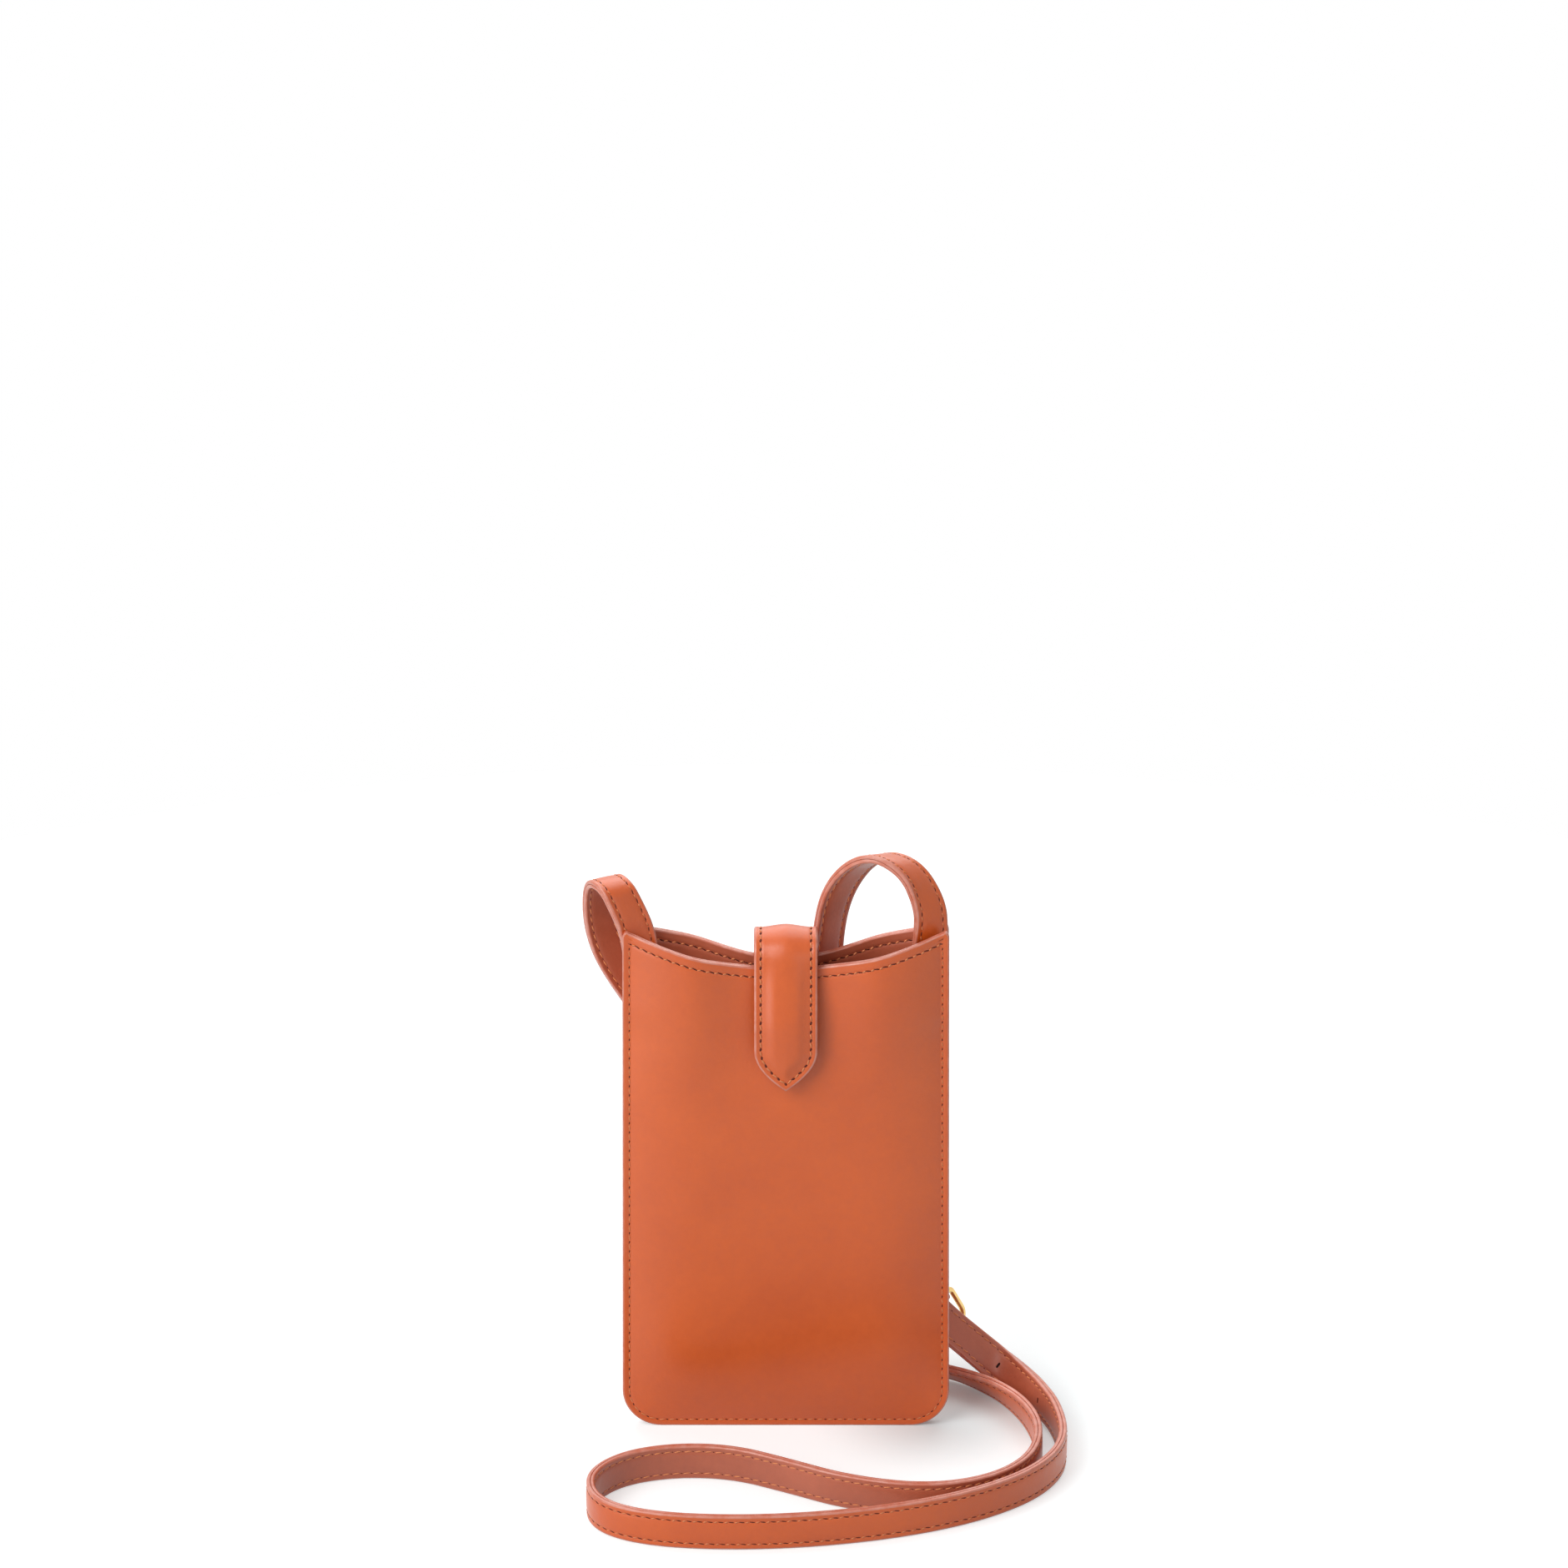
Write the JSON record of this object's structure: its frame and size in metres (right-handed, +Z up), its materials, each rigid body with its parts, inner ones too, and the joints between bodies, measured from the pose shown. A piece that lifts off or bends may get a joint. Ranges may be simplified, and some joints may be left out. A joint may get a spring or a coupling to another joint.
{
  "type": "phone pouch",
  "caption": "Flat leather phone pouch with a curved open mouth, a magnetic snap tab and a long crossbody strap that buckles behind it.",
  "frame": {"origin": "middle of the pouch's footprint, on the surface that it stands on", "axes": "+Z up from the foot to the mouth, +X to the right as seen from the front, -Y out of the front face that the tab closes over"},
  "size_m": [0.1598, 0.1324, 0.1981],
  "materials": {
    "outer_leather": "smooth vegetable-tanned leather with painted edges",
    "lining_leather": "fine matt split leather",
    "filler_board": "pressed leather-fibre board",
    "plated_steel": "plated pressed steel",
    "magnet": "sintered magnet, dull dark grey",
    "brass": "polished, lacquered"
  },
  "bodies": {
    "pouch": {"front_panel": "outer_leather", "front_lining": "lining_leather", "back_panel": "outer_leather", "back_lining": "lining_leather", "tab_anchor_outer": "outer_leather", "tab_anchor_lining": "lining_leather", "snap_base": "plated_steel", "snap_cap": "plated_steel", "snap_magnet": "magnet", "snap_base_washer": "plated_steel", "long_strap_outer": "outer_leather", "long_strap_lining": "lining_leather", "buckle_strap_outer": "outer_leather", "buckle_strap_lining": "lining_leather", "fixed_keeper": "outer_leather"},
    "tab": {"tab_outer": "outer_leather", "tab_lining": "lining_leather", "tab_filler": "filler_board", "snap_stud": "plated_steel", "snap_stud_washer": "plated_steel"},
    "buckle": {"buckle_frame": "brass"},
    "prong": {"buckle_prong": "brass"},
    "keeper": {"sliding_keeper": "outer_leather"}
  },
  "joints": [
    {"name": "tab_hinge", "type": "hinge", "parent": "pouch", "child": "tab", "pos_m": [0, 0.00426, 0.17878], "axis": [-1, 0, 0], "range_deg": [0, 150]},
    {"name": "buckle_tilt", "type": "hinge", "parent": "pouch", "child": "buckle", "pos_m": [0.05026, 0.02768, 0.03036], "axis": [0.5658, 0.6286, 0.5335], "range_deg": [0, 3]},
    {"name": "prong_lift", "type": "hinge", "parent": "buckle", "child": "prong", "pos_m": [0.05026, 0.02768, 0.03036], "axis": [0.5658, 0.6286, 0.5335], "range_deg": [0, 3]},
    {"name": "keeper_slide", "type": "slide", "parent": "pouch", "child": "keeper", "axis": [0.6532, 0.053, -0.7553], "range_m": [-0.02, 0.01]}
  ]
}
